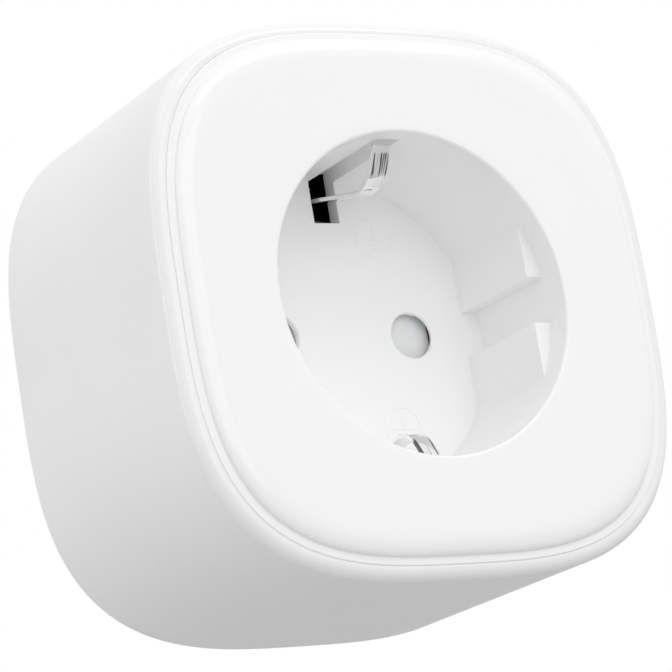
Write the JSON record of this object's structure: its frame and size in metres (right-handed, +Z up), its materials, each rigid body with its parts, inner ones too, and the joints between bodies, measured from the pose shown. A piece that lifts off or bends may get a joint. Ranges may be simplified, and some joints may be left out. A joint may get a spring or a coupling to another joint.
{
  "type": "smart plug",
  "caption": "Rounded-square switched plug adapter: earthed round socket recess in front, round plug nose with pins behind, radio-switched relay inside.",
  "frame": {"origin": "middle of the nose's end face, between the two plug pins", "axes": "+Y along the pins, away from the socket side; +Z up with the earth clips above and below; +X to the right seen from the socket side"},
  "size_m": [0.068, 0.078, 0.0682],
  "materials": {
    "shell_plastic": "satin white moulding with a glossy lip",
    "cover_plastic": "glossy white moulding",
    "rear_plastic": "fine matte white moulding",
    "button_plastic": "satin white",
    "shutter_plastic": "light grey moulding",
    "carrier_plastic": "grey heat-resistant moulding",
    "screw_steel": "zinc plated",
    "pin_metal": "nickel plated brass, turned",
    "spring_steel": "stainless spring steel",
    "earth_metal": "nickel plated bronze strip",
    "copper_alloy": "copper alloy strip",
    "contact_brass": "brass strip",
    "board": "green solder resist over glass laminate",
    "relay_plastic": "dark moulding",
    "bobbin_plastic": "natural moulding",
    "winding": "enamelled copper wire",
    "soft_iron": "plated soft iron",
    "varistor_coat": "blue dipped coat",
    "film_case": "yellow box",
    "can_sleeve": "black shrink sleeve",
    "ferrite": "dark ferrite",
    "resistor_body": "green-grey cement coat",
    "chip_black": "moulded epoxy",
    "shunt_metal": "manganin strip",
    "shield_metal": "tinned sheet",
    "antenna_copper": "plated copper track",
    "switch_body": "black moulding",
    "switch_plunger": "pale moulding",
    "led": "clear resin over phosphor",
    "clear_guide": "clear moulding"
  },
  "bodies": {
    "housing": {"bridge_rectifier": "chip_black", "carrier_screws": "screw_steel", "contact_carrier": "carrier_plastic", "contact_clamp_left": "spring_steel", "contact_clamp_right": "spring_steel", "current_shunt": "shunt_metal", "earth_bridge": "copper_alloy", "filter_choke_core": "ferrite", "filter_choke_winding": "winding", "front_cover": "cover_plastic", "fusible_resistor": "resistor_body", "housing_screws": "screw_steel", "interference_capacitor": "film_case", "light_guide": "clear_guide", "line_strap": "copper_alloy", "load_busbar": "copper_alloy", "main_board": "board", "main_shell": "shell_plastic", "metering_chip": "chip_black", "neutral_strap": "copper_alloy", "pin_holder": "carrier_plastic", "pin_holder_screws": "screw_steel", "plug_pin_left": "pin_metal", "plug_pin_right": "pin_metal", "power_chip": "chip_black", "radio_antenna": "antenna_copper", "radio_board": "board", "radio_shield": "shield_metal", "rear_cover": "rear_plastic", "rear_earth_contact_bottom": "earth_metal", "rear_earth_contact_top": "earth_metal", "relay_base": "relay_plastic", "relay_bobbin": "bobbin_plastic", "relay_case": "relay_plastic", "relay_fixed_contact": "contact_brass", "relay_frame": "soft_iron", "relay_winding": "winding", "shutter_spring": "spring_steel", "small_parts": "chip_black", "smoothing_capacitors": "can_sleeve", "socket_contact_left": "contact_brass", "socket_contact_right": "contact_brass", "status_light": "led", "tact_switch_body": "switch_body", "varistor": "varistor_coat"},
    "button": {"power_button": "button_plastic"},
    "switch_plunger": {"tact_switch_plunger": "switch_plunger"},
    "shutter": {"safety_shutter": "shutter_plastic"},
    "clip_top": {"earth_clip_top": "earth_metal"},
    "clip_bottom": {"earth_clip_bottom": "earth_metal"},
    "armature": {"relay_armature": "soft_iron"}
  },
  "joints": [
    {"name": "button_press", "type": "slide", "parent": "housing", "child": "button", "axis": [0, 0, -1], "range_m": [0, 0.0005], "stiffness_N_per_m": 1500, "springref_m": -0.0006},
    {"name": "plunger_press", "type": "slide", "parent": "housing", "child": "switch_plunger", "axis": [0, 0, -1], "range_m": [0, 0.0005]},
    {"name": "shutter_turn", "type": "hinge", "parent": "housing", "child": "shutter", "pos_m": [0, -0.0382, 0], "axis": [0, -1, 0], "range_deg": [0, 34], "stiffness_Nm_per_rad": 0.01, "springref_deg": -11.46, "deforming": ["shutter_spring"]},
    {"name": "clip_top_flex", "type": "hinge", "parent": "housing", "child": "clip_top", "pos_m": [0, -0.0331, 0.0179], "axis": [-1, 0, 0], "range_deg": [0, 2.5], "stiffness_Nm_per_rad": 0.5, "springref_deg": -0.57},
    {"name": "clip_bottom_flex", "type": "hinge", "parent": "housing", "child": "clip_bottom", "pos_m": [0, -0.0331, -0.0179], "axis": [1, 0, 0], "range_deg": [0, 2.5], "stiffness_Nm_per_rad": 0.5, "springref_deg": -0.57},
    {"name": "armature_pull", "type": "hinge", "parent": "housing", "child": "armature", "pos_m": [0.0014, -0.0361, -0.0248], "axis": [0, 0, -1], "range_deg": [0, 3], "stiffness_Nm_per_rad": 0.02, "springref_deg": -2.86}
  ],
  "couplings": [
    {"joint": "plunger_press", "follows": "button_press", "ratio": 1}
  ]
}
